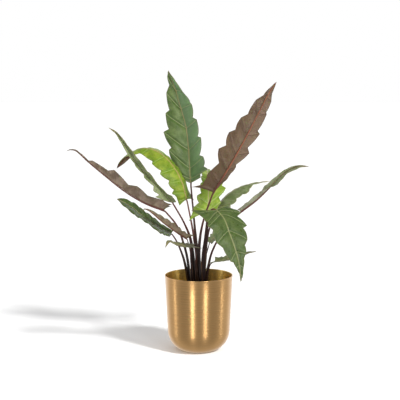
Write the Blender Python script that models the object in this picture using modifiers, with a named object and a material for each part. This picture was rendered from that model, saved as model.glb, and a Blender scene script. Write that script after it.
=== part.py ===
"""Alocasia in a gold pot: a tufted elephant-ear plant in its nursery pot, standing in a gold metal cachepot.

Metres, +Z up, +X to the right, the front faces -Y. The origin is the centre of the cachepot's flat base.
"""

import math

import bpy
import bmesh
from mathutils import Vector

MM = 0.001
GAP = 0.3 * MM                      # clearance between pieces that touch

# Gold cachepot
POT_HEIGHT = 178 * MM
POT_RIM_RADIUS = 80 * MM            # outside of the rolled lip
POT_WALL = 1.2 * MM
POT_SIDE_TOP_RADIUS = 79.2 * MM     # outside of the wall under the lip
POT_SIDE_LOW_RADIUS = 73.3 * MM     # outside of the wall where the corner starts
POT_CORNER_HEIGHT = 50 * MM
POT_BASE_RADIUS = 32 * MM           # flat that the pot stands on

# Plastic nursery pot
INNER_BASE_Z = 7.2 * MM
INNER_HEIGHT = 121 * MM
INNER_BASE_RADIUS = 50 * MM
INNER_TOP_RADIUS = 65 * MM
INNER_LIP_RADIUS = 68.5 * MM
INNER_LIP_HEIGHT = 9 * MM
INNER_WALL = 1.2 * MM
DRAIN_HOLE_RADIUS = 5 * MM
DRAIN_HOLE_RING = 34 * MM
DRAIN_HOLES = 6

# Soil and rhizomes
SOIL_TOP_Z = 114 * MM
SOIL_MOUND = 3 * MM
RHIZOME_RADIUS = 11 * MM
RHIZOME_FOOT_Z = 92 * MM
RHIZOME_TOP_Z = 127 * MM
RHIZOME_CENTRES = ((-16, 0), (6, 10), (10, -14))      # millimetres

# Leaves
BLADE_THICKNESS = 1.2 * MM
BLADE_COLUMNS = 2                   # strips between the midrib and the margin
PETIOLE_FOOT_Z = RHIZOME_TOP_Z + GAP
NECK_GAP = 1.2 * MM                 # from a petiole's cut end to its blade's base
ROUND_STEPS = 40

VEIN_SWEEP = 0.75                   # how far a lateral vein runs forward for each unit it runs outward

# Colours, linear RGB
GOLD = (0.62, 0.40, 0.13)
BLACK_PLASTIC = (0.02, 0.02, 0.022)
SOIL_BROWN = (0.045, 0.028, 0.018)
BARK_BROWN = (0.16, 0.085, 0.04)
STALK_PURPLE = (0.06, 0.022, 0.024)
STALK_BROWN = (0.16, 0.085, 0.05)
LEAF_GREEN = (0.12, 0.20, 0.07)
LEAF_GREY_GREEN = (0.19, 0.24, 0.12)
LEAF_LIME = (0.28, 0.44, 0.05)
LEAF_BRONZE = (0.17, 0.10, 0.06)

# One row for each leaf, in millimetres. `stalk` runs from above the foot to the neck, `rib` from the neck to the
# tip. `faces` are the ways the upper face looks, spread evenly from base to tip. `half` is the half width on
# the minus and plus sides, `lobes` the (along, out) reach of the two basal lobes, `fold` the rise of
# each half in degrees, `radii` the petiole's radius at its foot and neck.
LEAVES = (
    dict(name="leaf_01", foot=(0, 9), stalk=((-3, 4, 205), (-6, 12, 259), (-12, 23, 317)), neck=(-19, 32, 391),
         rib=((-23, 42, 468), (-30, 51, 526), (-42, 59, 568), (-56, 67, 614), (-72, 76, 655)),
         faces=((-0.35, -0.93, 0.15), (-0.6, -0.8, 0.15)), half=(50, 48), lobes=((18, 36), (11, 31)),
         fold=22, radii=(3.2, 2.0), colour=LEAF_GREEN, stalk_colour=STALK_BROWN),
    dict(name="leaf_02", foot=(7, -9), stalk=((1, -8, 208), (3, -10, 261), (12, -16, 312)), neck=(33, -28, 375),
         rib=((70, -45, 437), (104, -62, 500), (134, -78, 560), (153, -88, 598), (171, -96, 627)),
         faces=((-0.35, 0.85, 0.25), (0.15, 0.9, 0.3)), half=(29, 38), lobes=((16, 5), (-10, 54)),
         fold=18, radii=(3.2, 2.0), colour=LEAF_BRONZE, stalk_colour=STALK_PURPLE),
    dict(name="leaf_03", foot=(-15, 6), stalk=((-6, 12, 206), (-11, 14, 258), (-19, 15, 308)), neck=(-28, 14, 354),
         rib=((-40, 10, 397), (-61, 14, 434), (-92, 24, 463), (-132, 36, 473), (-166, 46, 458), (-195, 52, 423)),
         faces=((0.6, -0.8, 0.2), (0.48, -0.62, 0.53), (0.3, -0.5, 0.8), (0.05, -0.5, 0.87), (-0.5, 0.3, 0.6),
                (-0.6, 0.8, 0.2)),
         half=(38, 24), lobes=((-9, 20), (-14, 34)), fold=-22, radii=(3.0, 1.8), colour=LEAF_LIME,
         stalk_colour=STALK_BROWN),
    dict(name="leaf_04", foot=(-10, 0), stalk=((-13, -2, 208), (-19, -8, 262), (-34, -20, 304)), neck=(-60, -38, 353),
         rib=((-98, -58, 397), (-134, -76, 441), (-162, -90, 486), (-181, -98, 514), (-198, -104, 527)),
         faces=((-0.05, -1.0, 0.0), (0.0, -1.0, 0.1)), half=(20, 17), lobes=((46, 27), (-1, 14)),
         fold=50, radii=(3.2, 1.8), colour=LEAF_GREY_GREEN, stalk_colour=STALK_PURPLE),
    dict(name="leaf_05", foot=(-21, 3), stalk=((-26, 8, 207), (-37, 12, 254), (-52, 16, 293)), neck=(-81, 20, 328),
         rib=((-127, 26, 345), (-174, 32, 372), (-221, 38, 408), (-262, 44, 441), (-288, 48, 464), (-303, 50, 468),
              (-314, 51, 464)),
         faces=((0.4, 0.3, 0.87), (0.4, 0.3, 0.87), (0.4, 0.3, 0.87), (0.4, 0.3, 0.87), (0.4, 0.3, 0.87),
                (-0.5, 0.3, 0.8)),
         half=(27, 25), lobes=((-14, 24), (-10, 22)),
         fold=52, radii=(3.2, 2.0), colour=LEAF_BRONZE, stalk_colour=STALK_PURPLE),
    dict(name="leaf_06", foot=(-20, -4), stalk=((-33, -8, 207), (-43, -20, 242), (-52, -34, 265)),
         neck=(-62, -48, 283), rib=((-92, -66, 301), (-120, -84, 324), (-152, -104, 353), (-180, -120, 371)),
         faces=((0.35, -0.42, 0.84), (0.3, -0.45, 0.84)), half=(27, 25), lobes=((15, 26), (-6, 10)),
         fold=14, radii=(3.2, 1.6), colour=LEAF_GREEN, stalk_colour=STALK_PURPLE),
    dict(name="leaf_07", foot=(-14, -6), stalk=((-18, -16, 211), (-20, -30, 242)), neck=(-27, -46, 271),
         rib=((-51, -62, 289), (-80, -82, 314), (-106, -100, 339), (-119, -108, 347), (-122, -112, 342)),
         faces=((0.3, 0.15, 0.9), (0.3, 0.2, 0.9)), half=(17, 15), lobes=((-6, 22), (-6, 14)),
         fold=46, radii=(2.4, 1.2), colour=LEAF_GREY_GREEN, stalk_colour=STALK_PURPLE),
    dict(name="leaf_08", foot=(4, -15), stalk=((-6, -21, 198), (-6, -34, 228)), neck=(-10, -52, 255),
         rib=((-31, -72, 260), (-51, -92, 266), (-66, -106, 274), (-74, -116, 262)),
         faces=((0.1, -0.42, 0.9), (0.1, -0.42, 0.9)), half=(13, 12), lobes=((-16, 11), (-12, 9)),
         fold=6, radii=(2.2, 1.1), colour=LEAF_BRONZE, stalk_colour=STALK_PURPLE),
    dict(name="leaf_09", foot=(14, -10), stalk=((10, -18, 211), (15, -32, 265), (21, -54, 314), (28, -72, 340)),
         neck=(39, -86, 343), rib=((56, -104, 325), (68, -118, 295), (80, -128, 263), (90, -134, 224), (93, -134, 188)),
         faces=((0.2, -0.6, 0.75), (0.1, -0.9, 0.35), (0.1, -1.0, 0.1)), half=(34, 34), lobes=((-3, 43), (-23, 53)),
         fold=8, radii=(3.4, 2.0), colour=LEAF_GREEN, stalk_colour=STALK_PURPLE),
    dict(name="leaf_10", foot=(5, 4), stalk=((9, 6, 206), (14, 10, 258)), neck=(21, 14, 321),
         rib=((23, 30, 362), (22, 58, 396), (21, 92, 413), (20, 132, 416)),
         faces=((0.0, -1.0, 0.3), (0.0, -0.6, 0.8), (0.0, -0.1, 1.0)), half=(32, 34), lobes=((-22, 44), (6, 24)),
         fold=12, radii=(3.0, 1.8), colour=LEAF_LIME, stalk_colour=STALK_BROWN),
    dict(name="leaf_11", foot=(10, 14), stalk=((16, 14, 206), (20, 24, 257), (29, 34, 294)), neck=(43, 44, 330),
         rib=((65, 54, 357), (94, 66, 376), (131, 82, 386), (173, 102, 389)),
         faces=((-0.2, -0.25, 0.95), (-0.2, -0.25, 0.95)), half=(24, 28), lobes=((-6, 18), (-4, 22)),
         fold=-24, radii=(3.0, 1.6), colour=LEAF_GREY_GREEN, stalk_colour=STALK_PURPLE),
    dict(name="leaf_12", foot=(11, 7), stalk=((22, 0, 194), (33, 4, 236), (62, 10, 287)), neck=(98, 16, 325),
         rib=((134, 10, 353), (166, 2, 385), (199, -8, 419), (228, -18, 434), (252, -28, 435)),
         faces=((-0.45, 0.2, 0.85), (-0.45, 0.2, 0.85), (-0.45, 0.2, 0.85), (-0.38, -0.85, 0.35), (-0.32, -0.93, 0.15),
                (-0.32, -0.93, 0.15), (-0.32, -0.93, 0.15)),
         half=(12, 13), lobes=((-2, 9), (-2, 11)),
         fold=46, radii=(3.4, 1.8), colour=LEAF_GREY_GREEN, stalk_colour=STALK_PURPLE),
    dict(name="leaf_13", foot=(15, -17), stalk=((24, -26, 200),), neck=(37, -36, 217),
         rib=((58, -48, 222), (83, -58, 229), (110, -66, 240), (131, -72, 246)),
         faces=((-0.2, -0.4, 0.9), (-0.2, -0.3, 0.9)), half=(14, 12), lobes=((-4, 14), (-12, 12)),
         fold=16, radii=(2.2, 1.1), colour=LEAF_GREY_GREEN, stalk_colour=STALK_PURPLE),
    dict(name="leaf_14", foot=(3, 15), stalk=((14, 22, 205), (22, 32, 234)), neck=(26, 40, 248),
         rib=((41, 54, 262), (58, 68, 276), (78, 82, 287)),
         faces=((-0.4, -0.7, 0.6), (-0.3, -0.7, 0.6)), half=(14, 14), lobes=((-5, 10), (-5, 10)),
         fold=14, radii=(1.8, 1.0), colour=LEAF_GREY_GREEN, stalk_colour=STALK_PURPLE),
)

# The toothed margins, minus side then plus side, base to tip: the shoulder notch, then tooth and notch in turn.
# Each point is how far along the midrib it lies and how far out, in hundredths of its length and of the half width.
PLAIN_MARGINS = (
    ((7, 72), (15, 86), (19, 68), (28, 98), (31.5, 76), (41, 100), (44.5, 78), (55, 86), (58.5, 66), (69, 62),
     (72.5, 46), (84, 32), (90, 18)),
    ((9, 72), (18, 86), (22, 68), (31, 98), (34.5, 76), (44, 100), (47.5, 78), (58, 86), (61.5, 66), (72, 62),
     (75.5, 46), (87, 30), (93, 15)),
)
MARGINS = dict(
    leaf_01=(
        ((10, 77), (13, 90), (18, 80), (30, 100), (32, 88), (48, 119), (50, 90), (65.4, 83), (67, 60), (82, 49),
         (88, 23), (95, 17), (98, 8)),
        ((6.8, 64), (11.5, 110), (13.5, 87), (21.5, 93), (23, 67), (37, 89), (38.5, 65), (51.5, 82), (54, 56),
         (64.3, 80), (66.5, 68), (76, 53), (88, 20))),
    leaf_02=(
        ((7.5, 24), (15.3, 53), (20, 50), (26, 64), (28, 47), (40.3, 103), (44.2, 60), (57.5, 98), (59.5, 64),
         (73.5, 70), (75.5, 54), (84.5, 52), (90.5, 22)),
        ((1.9, 87), (15, 87), (23.5, 67), (33.6, 113), (38.7, 83), (48.8, 105), (53, 78), (63.4, 81), (68.2, 54),
         (80.5, 50), (86.4, 22), (92, 17), (96, 8))),
    leaf_03=(
        ((5, 58), (10, 76), (12.3, 62), (20.8, 80), (23, 68), (34, 95), (36, 77), (49, 87), (51.5, 70), (66.5, 52),
         (69, 46), (82, 70), (87, 60)),
        ((7, 78), (17.5, 88), (21, 70), (30.5, 98), (34, 78), (43.5, 100), (47, 80), (56.5, 90), (60, 76),
         (68.5, 84), (72, 66), (80.5, 62), (90, 36))),
    leaf_04=(
        ((17, 68), (25, 88), (27, 36), (40.5, 60), (42.5, 26), (54.5, 50), (57, 32), (67, 48), (69.5, 42), (80, 34),
         (82, 28), (90, 20), (94, 12)),
        ((4, 98), (9, 96), (12, 48), (25, 48), (30, 50), (41, 90), (43.5, 62), (57, 94), (63, 66), (75, 48), (78, 40),
         (88, 30), (93, 16))),
    leaf_05=(
        ((-1, 80), (5, 94), (18, 86), (30, 118), (37.5, 76), (55, 110), (59, 62), (74.5, 38), (77.5, 13), (84, 12),
         (88, 10), (92, 9), (95, 7)),
        ((1, 78), (8, 86), (11, 74), (31, 98), (37, 70), (53, 86), (58, 58), (74, 36), (78, 13), (84, 12), (88, 10),
         (92, 9), (95, 7))),
    leaf_06=(
        ((14, 104), (21, 109), (23, 106), (29, 116), (32, 95), (46, 92), (49, 88), (60, 98), (63, 98), (72, 122),
         (76, 114), (87, 95), (92, 72)),
        ((4, 50), (14, 60), (18, 60), (30, 84), (34, 80), (44, 82), (48, 76), (58, 76), (62, 74), (72, 72), (76, 62),
         (86, 53), (92, 42))),
    leaf_09=(
        ((3.7, 84), (17.8, 129), (19.5, 94), (34.3, 130), (36.5, 100), (52, 96), (57.4, 68), (67.4, 59), (71.8, 40),
         (82.5, 25), (86, 20), (93.5, 14), (96, 8)),
        ((2.5, 128), (13, 117), (16, 116), (22, 126), (28, 101), (44.3, 104), (52.3, 76), (72, 53), (74, 34),
         (81.5, 24), (84, 17), (88.7, 8), (94, 3))),
    leaf_10=(
        ((1, 112), (9, 100), (14.5, 70), (24.5, 87), (29.5, 55), (44, 60), (49, 42), (58, 52), (62, 42), (74, 44),
         (78, 34), (88, 26), (94, 14)),
        ((8.5, 66), (17.5, 88), (24, 72), (36, 124), (41, 95), (50, 100), (54, 70), (62, 66), (66, 46), (74, 34),
         (78, 24), (88, 18), (94, 9))),
    leaf_11=(
        ((4, 80), (14, 86), (18, 70), (27, 98), (31, 78), (41, 96), (45, 76), (53, 84), (57, 62), (66, 40), (70, 32),
         (84, 20), (91, 12)),
        ((4, 80), (12, 98), (15, 86), (27.5, 102), (31.5, 82), (44, 84), (46.5, 86), (57, 80), (61, 52), (69, 24),
         (73, 18), (85, 14), (92, 8))),
    leaf_12=(
        ((5, 80), (12, 90), (16, 75), (26, 95), (30, 78), (42, 95), (46, 75), (57, 80), (61, 62), (72, 62), (76, 50),
         (87, 36), (92, 22)),
        ((5, 80), (12, 95), (15, 88), (27, 100), (31, 85), (42, 80), (47, 62), (56, 155), (62, 112), (69, 88),
         (73, 62), (86, 75), (90, 36))),
)


def clear_scene():
    for old in list(bpy.data.objects):
        bpy.data.objects.remove(old, do_unlink=True)


def new_collection(name):
    made = bpy.data.collections.new(name)
    bpy.context.scene.collection.children.link(made)
    return made


def material(name, colour, roughness, metallic=0.0):
    made = bpy.data.materials.new(name)
    made.use_nodes = True
    shader = made.node_tree.nodes["Principled BSDF"]
    shader.inputs["Base Color"].default_value = (*colour, 1.0)
    shader.inputs["Roughness"].default_value = roughness
    shader.inputs["Metallic"].default_value = metallic
    return made


def empty(name, collection, parent=None):
    made = bpy.data.objects.new(name, None)
    made.empty_display_size = 0.03
    made.parent = parent
    collection.objects.link(made)
    return made


def add_object(name, data, collection, parent, finish):
    made = bpy.data.objects.new(name, data)
    data.materials.append(finish)
    made.parent = parent
    collection.objects.link(made)
    return made


def turned(name, outline, collection, parent, finish):
    """A turned body: the outline runs down the outer side and back up the inner one, and closes on itself
    or on the axis."""
    mesh = bpy.data.meshes.new(name)
    points = [(r, 0.0, z) for r, z in outline]
    edges = [(i, i + 1) for i in range(len(points) - 1)]
    on_axis = outline[0][0] == 0.0 and outline[-1][0] == 0.0
    if not on_axis:
        edges.append((len(points) - 1, 0))
    mesh.from_pydata(points, edges, [])
    made = add_object(name, mesh, collection, parent, finish)
    screw = made.modifiers.new("Screw", "SCREW")
    screw.axis = "Z"
    screw.steps = ROUND_STEPS
    screw.render_steps = ROUND_STEPS
    screw.use_merge_vertices = True
    screw.merge_threshold = 0.00001
    screw.use_normal_calculate = True
    return made


def cut(target, name, radius, bottom, top, x, y, collection):
    """Bores a round hole up the Z axis through `target`."""
    mesh = bpy.data.meshes.new(name)
    drill = bmesh.new()
    bmesh.ops.create_cone(drill, cap_ends=True, segments=24, radius1=radius, radius2=radius, depth=top - bottom)
    drill.to_mesh(mesh)
    drill.free()
    cutter = bpy.data.objects.new(name, mesh)
    cutter.location = (x, y, (top + bottom) / 2)
    cutter.hide_render = True
    cutter.display_type = "WIRE"
    collection.objects.link(cutter)
    boolean = target.modifiers.new(name, "BOOLEAN")
    boolean.operation = "DIFFERENCE"
    boolean.solver = "EXACT"
    boolean.object = cutter


def corner(inset, steps=7):
    """The rounded corner between the cachepot's side and its base, `inset` in from the outside, side first."""
    wide = POT_SIDE_LOW_RADIUS - POT_BASE_RADIUS - inset
    tall = POT_CORNER_HEIGHT - inset
    turns = [math.pi / 2 * i / steps for i in range(steps + 1)]
    return [(POT_BASE_RADIUS + wide * math.cos(a), POT_CORNER_HEIGHT - tall * math.sin(a)) for a in turns]


def cachepot_outline():
    side = POT_SIDE_TOP_RADIUS
    lip = POT_RIM_RADIUS
    top = POT_HEIGHT
    foot = top - 2.4 * MM
    outside = [(lip - 0.5 * MM, top - 0.1 * MM), (lip, top - 0.9 * MM), (lip - 0.3 * MM, top - 1.7 * MM), (side, foot)]
    inside = [(side - POT_WALL, foot), (lip - 1.9 * MM, top - 0.6 * MM), (lip - 1.2 * MM, top)]
    return outside + corner(0.0) + [(0.0, 0.0)], list(reversed(corner(POT_WALL))) + inside


def make_cachepot(collection, parent, finish):
    outer, inner = cachepot_outline()
    return turned("cachepot", close_on_axis(outer, inner), collection, parent, finish)


def close_on_axis(outer, inner):
    """Joins an outer and an inner outline into one that starts and ends on the axis: floor inside, up the inner
    side, over the lip, down the outer side."""
    inside_floor = [(0.0, inner[0][1])]
    return inside_floor + inner + outer


def make_nursery_pot(collection, parent, finish):
    base = INNER_BASE_Z
    top = base + INNER_HEIGHT
    lip_foot = top - INNER_LIP_HEIGHT
    wall = INNER_WALL
    outer = [
        (INNER_LIP_RADIUS, top),
        (INNER_LIP_RADIUS - 0.6 * MM, lip_foot),
        (INNER_TOP_RADIUS, lip_foot - 0.6 * MM),
        (INNER_BASE_RADIUS + 2.2 * MM, base + 9 * MM),
        (INNER_BASE_RADIUS + 0.2 * MM, base + 1.6 * MM),
        (INNER_BASE_RADIUS - 1.6 * MM, base),
        (0.0, base),
    ]
    inner = [
        (INNER_BASE_RADIUS - 2.2 * MM, base + wall),
        (INNER_BASE_RADIUS - 0.8 * MM, base + 2.4 * MM),
        (INNER_BASE_RADIUS + 1.0 * MM, base + 9 * MM),
        (INNER_TOP_RADIUS - wall, lip_foot),
        (INNER_LIP_RADIUS - 0.6 * MM - wall, lip_foot + 1.0 * MM),
        (INNER_LIP_RADIUS - wall, top),
    ]
    return turned("nursery_pot", close_on_axis(outer, inner), collection, parent, finish)


def make_soil(collection, parent, finish):
    """Potting mix that fills the nursery pot, with a slight mound in the middle."""
    base = INNER_BASE_Z + INNER_WALL + GAP
    slope = (INNER_TOP_RADIUS - INNER_BASE_RADIUS - 2.2 * MM) / (INNER_HEIGHT - INNER_LIP_HEIGHT - 9 * MM)
    low = INNER_BASE_RADIUS + 1.0 * MM - 0.4 * MM
    edge = low + (SOIL_TOP_Z - INNER_BASE_Z - 9 * MM) * slope
    outline = [
        (0.0, SOIL_TOP_Z + SOIL_MOUND),
        (26 * MM, SOIL_TOP_Z + SOIL_MOUND * 0.9),
        (44 * MM, SOIL_TOP_Z + SOIL_MOUND * 0.4),
        (edge - 2 * MM, SOIL_TOP_Z),
        (edge, SOIL_TOP_Z - 1.5 * MM),
        (low, INNER_BASE_Z + 9 * MM),
        (INNER_BASE_RADIUS - 3.2 * MM, base + 1.6 * MM),
        (INNER_BASE_RADIUS - 5 * MM, base),
        (0.0, base),
    ]
    return turned("potting_soil", outline, collection, parent, finish)


def make_rhizome(name, x, y, collection, parent, finish):
    """A stubby upright rhizome with leaf-scar rings, set in the soil."""
    outline = [(0.0, RHIZOME_TOP_Z), (RHIZOME_RADIUS - 0.5 * MM, RHIZOME_TOP_Z)]
    for ring in (1.0, 5.5):
        high = RHIZOME_TOP_Z - ring * MM
        outline.append((RHIZOME_RADIUS, high))
        outline.append((RHIZOME_RADIUS - 0.8 * MM, high - 2.5 * MM))
    outline.append((RHIZOME_RADIUS - 0.4 * MM, SOIL_TOP_Z - 3 * MM))
    outline.append((RHIZOME_RADIUS - 1.0 * MM, RHIZOME_FOOT_Z + 6 * MM))
    outline.append((RHIZOME_RADIUS - 5 * MM, RHIZOME_FOOT_Z))
    outline.append((0.0, RHIZOME_FOOT_Z))
    made = turned(name, outline, collection, parent, finish)
    for modifier in made.modifiers:
        modifier.steps = 16
        modifier.render_steps = 16
    made.location = (x * MM, y * MM, 0.0)
    return made


def smooth(points, per_span):
    """A smooth run of points that passes through every one of `points`."""
    first = points[0] * 2 - points[1]
    last = points[-1] * 2 - points[-2]
    ends = [first, *points, last]
    run = []
    for i in range(1, len(ends) - 2):
        a, b, c, d = ends[i - 1:i + 3]
        for step in range(per_span):
            t = step / per_span
            run.append(
                0.5 * (2 * b + (c - a) * t + (2 * a - 5 * b + 4 * c - d) * t * t + (3 * b - a - 3 * c + d) * t ** 3)
            )
    run.append(points[-1].copy())
    return run


class Rib:
    """A midrib that can be asked for the place, heading and upper-face direction at any distance along it."""

    def __init__(self, points, faces):
        self.run = smooth(points, 10)
        self.at = [0.0]
        for a, b in zip(self.run, self.run[1:]):
            self.at.append(self.at[-1] + (b - a).length)
        self.length = self.at[-1]
        self.faces = [Vector(f).normalized() for f in faces]

    def heading(self, distance):
        step = self.length / 30
        ahead = self.place(min(distance + step, self.length))
        behind = self.place(max(distance - step, 0.0))
        return (ahead - behind).normalized()

    def place(self, distance):
        distance = min(max(distance, 0.0), self.length)
        for i in range(len(self.at) - 1):
            if distance <= self.at[i + 1]:
                share = (distance - self.at[i]) / (self.at[i + 1] - self.at[i])
                return self.run[i].lerp(self.run[i + 1], share)
        return self.run[-1].copy()

    def frame(self, distance):
        """Place, side direction and upper-face direction."""
        inside = min(max(distance, 0.0), self.length)
        ahead = self.heading(inside)
        spot = inside / self.length * (len(self.faces) - 1)
        low = min(int(spot), len(self.faces) - 2)
        face = self.faces[low].lerp(self.faces[low + 1], spot - low)
        face = (face - ahead * face.dot(ahead)).normalized()
        side = ahead.cross(face)
        return self.place(inside) + ahead * (distance - inside), side, face


def vein_lines(leaf, length):
    """For both halves, (start on the midrib, end along, end out) of every grid line, base to tip, in metres."""
    margins = MARGINS.get(leaf["name"], PLAIN_MARGINS)
    halves = [[(u / 100 * length, w / 100 * half * MM) for u, w in row] for row, half in zip(margins, leaf["half"])]
    starts = [0.018 * length]
    last = 0.036 * length
    for left, right in zip(halves[0][1:], halves[1][1:]):
        start = max((left[0] + right[0] - VEIN_SWEEP * (left[1] + right[1])) / 2, last)
        starts.append(start)
        last = start + 0.012 * length
    both = []
    for ends, (along, out) in zip(halves, leaf["lobes"]):
        lines = [(0.0, along * MM, out * MM)]
        lines += [(start, *end) for start, end in zip(starts, ends)]
        shoulder, tooth = lines[1], lines[2]
        lines.insert(2, tuple((a + b) / 2 for a, b in zip(shoulder, tooth)))
        both.append(lines)
    return both


def make_blade(leaf, collection, parent, finish):
    """A hastate leaf blade: grid lines follow the lateral veins out to a scalloped margin."""
    neck = Vector(leaf["neck"]) * MM
    rib = Rib([neck] + [Vector(p) * MM for p in leaf["rib"]], leaf["faces"])
    fold = math.radians(leaf["fold"])
    sheet = bmesh.new()
    halves = vein_lines(leaf, rib.length)
    spine = [sheet.verts.new(rib.place(line[0]) - neck) for line in halves[0]]
    tip = sheet.verts.new(rib.place(rib.length) - neck)
    for side, way in ((0, -1.0), (1, 1.0)):
        rows = []
        for i, (start, along, out) in enumerate(halves[side]):
            row = [spine[i]]
            bend = 1.7 if along < start else 1.2
            for column in range(1, BLADE_COLUMNS + 1):
                share = column / BLADE_COLUMNS
                place, across, face = rib.frame(start + (along - start) * share ** bend)
                reach = out * share
                rise = reach * math.sin(fold) - reach * reach * 3.0
                row.append(sheet.verts.new(place + across * way * reach * math.cos(fold) + face * rise - neck))
            rows.append(row)
        for low, high in zip(rows, rows[1:]):
            for a, b, c, d in zip(low, low[1:], high[1:], high):
                corners = (a, b, c, d) if way > 0 else (d, c, b, a)
                sheet.faces.new(corners)
        for a, b in zip(rows[-1], rows[-1][1:]):
            sheet.faces.new((a, b, tip) if way > 0 else (tip, b, a))
    mesh = bpy.data.meshes.new(leaf["name"] + "_blade")
    sheet.to_mesh(mesh)
    sheet.free()
    made = add_object(leaf["name"] + "_blade", mesh, collection, parent, finish)
    made.location = neck
    shell = made.modifiers.new("Solidify", "SOLIDIFY")
    shell.thickness = BLADE_THICKNESS
    shell.offset = 0.0
    return made


def make_petiole(leaf, collection, parent, finish):
    """A tapered leaf stalk from its rhizome up to just short of the blade's base."""
    foot = Vector((leaf["foot"][0] * MM, leaf["foot"][1] * MM, PETIOLE_FOOT_Z))
    above = foot + Vector((0, 0, 8 * MM))
    route = [above] + [Vector(p) * MM for p in leaf["stalk"]] + [Vector(leaf["neck"]) * MM]
    run = [foot, foot.lerp(above, 0.6)] + smooth(route, 3)
    last = (run[-1] - run[-2]).normalized()
    run[-1] = run[-1] - last * NECK_GAP
    thick, thin = (value * MM for value in leaf["radii"])
    curve = bpy.data.curves.new(leaf["name"] + "_petiole", "CURVE")
    curve.dimensions = "3D"
    curve.bevel_depth = 1.0
    curve.bevel_resolution = 2
    curve.use_fill_caps = True
    spline = curve.splines.new("POLY")
    spline.points.add(len(run) - 1)
    for i, (point, place) in enumerate(zip(spline.points, run)):
        point.co = (*(place - foot), 1.0)
        point.radius = thick + (thin - thick) * (i / (len(run) - 1)) ** 0.8
    made = add_object(leaf["name"] + "_petiole", curve, collection, parent, finish)
    made.location = foot
    return made


def main():
    clear_scene()
    parts = new_collection("alocasia_in_gold_pot")
    cutters = new_collection("cutters")
    whole = empty("alocasia", parts)
    plant = empty("plant", parts, whole)

    gold = material("brushed_gold", GOLD, 0.32, 1.0)
    plastic = material("nursery_plastic", BLACK_PLASTIC, 0.5)
    soil_finish = material("potting_mix", SOIL_BROWN, 0.95)
    bark = material("rhizome_bark", BARK_BROWN, 0.8)

    make_cachepot(parts, whole, gold)
    nursery = make_nursery_pot(parts, plant, plastic)
    for i in range(DRAIN_HOLES):
        turn = 2 * math.pi * i / DRAIN_HOLES
        x = DRAIN_HOLE_RING * math.cos(turn)
        y = DRAIN_HOLE_RING * math.sin(turn)
        cut(nursery, f"drain_hole_{i + 1}", DRAIN_HOLE_RADIUS, 0.0, INNER_BASE_Z + 5 * MM, x, y, cutters)
    soil = make_soil(parts, plant, soil_finish)
    for i, (x, y) in enumerate(RHIZOME_CENTRES):
        make_rhizome(f"rhizome_{i + 1}", x, y, parts, plant, bark)
        name = f"rhizome_pocket_{i + 1}"
        bottom = RHIZOME_FOOT_Z - GAP
        cut(soil, name, RHIZOME_RADIUS + GAP * 2, bottom, RHIZOME_TOP_Z, x * MM, y * MM, cutters)

    for leaf in LEAVES:
        make_petiole(leaf, parts, plant, material(leaf["name"] + "_stalk", leaf["stalk_colour"], 0.45))
        make_blade(leaf, parts, plant, material(leaf["name"] + "_skin", leaf["colour"], 0.4))


main()
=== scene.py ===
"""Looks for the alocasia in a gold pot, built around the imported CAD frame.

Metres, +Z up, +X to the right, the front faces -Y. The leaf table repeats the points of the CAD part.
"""

import math

import bmesh
import bpy
import numpy as np
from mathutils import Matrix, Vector, noise


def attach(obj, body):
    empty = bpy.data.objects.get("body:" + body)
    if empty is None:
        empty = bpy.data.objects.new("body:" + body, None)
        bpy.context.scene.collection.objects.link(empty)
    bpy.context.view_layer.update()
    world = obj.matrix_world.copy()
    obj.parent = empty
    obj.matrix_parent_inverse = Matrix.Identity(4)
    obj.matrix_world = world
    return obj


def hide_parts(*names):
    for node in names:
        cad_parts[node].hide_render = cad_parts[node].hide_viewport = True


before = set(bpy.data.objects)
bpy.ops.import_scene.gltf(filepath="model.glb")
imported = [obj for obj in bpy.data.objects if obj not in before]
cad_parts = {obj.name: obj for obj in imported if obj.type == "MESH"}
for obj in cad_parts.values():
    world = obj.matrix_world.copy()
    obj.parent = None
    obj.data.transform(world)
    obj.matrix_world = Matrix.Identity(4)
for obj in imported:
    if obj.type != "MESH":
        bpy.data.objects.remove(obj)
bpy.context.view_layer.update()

MM = 0.001
CACHEPOT = "cachepot"
PLANT = "plant"

# Camera, in metres and degrees
CAMERA_PLACE = (0.003, -2.157, 0.609)
CAMERA_DOWN = 6.73
CAMERA_LENS = 84.02                 # millimetres, on a 36 mm sensor

# Lights, in metres, watts and degrees: strips are (name, turn from the front, power, width)
SUN_FROM = (0.85, -0.8, 1.0)
STRIPS = (("strip_left", -21.0, 13.5, 0.30), ("strip_right", 23.5, 10.5, 0.30),
          ("strip_far_left", -88.0, 3.4, 0.2), ("strip_far_right", 86.0, 2.8, 0.2))
STRIP_RADIUS, STRIP_HEIGHT, STRIP_LENGTH = 1.7, 0.55, 1.5
WORLD_TONES = ((0.0, 0.36), (0.28, 0.33), (0.45, 0.46), (0.55, 0.62), (0.72, 0.55), (0.9, 0.95), (1.0, 1.0))
FLOOR_DROP = -0.0004                # keeps the floor just under the pot's base

# Blade grid
HALF_COLUMNS = 13                   # grid columns from the midrib to one margin
ROW_STEP = 2.4 * MM                 # spacing of grid rows along the margin
BLADE_SKIN = 0.55 * MM
LEAF_ALBEDO = 0.68                  # from a leaf's display colour to its surface colour under these lights
QUILT_RISE = 2.2                    # swelling between lateral veins, in mm on a leaf 90 mm wide
MARGIN_SWELL = 0.08                 # how far a scallop bulges, as a share of the half width
VEIN_SWEEP = 0.75                   # how far a lateral vein runs forward for each unit it runs outward

# Petiole tubes
TUBE_SIDES = 16
WING_TURN = 1.05                    # radians from the groove to each edge of the sheath
SHEATH_TOP = 0.78                   # share of the stalk's length that its sheath clasps

SOIL_TOP_Z = 114 * MM
RHIZOME_TOP_Z = 127 * MM
PETIOLE_FOOT_Z = 127.3 * MM
RHIZOME_CENTRES = ((-16, 0), (6, 10), (10, -14))

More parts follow.
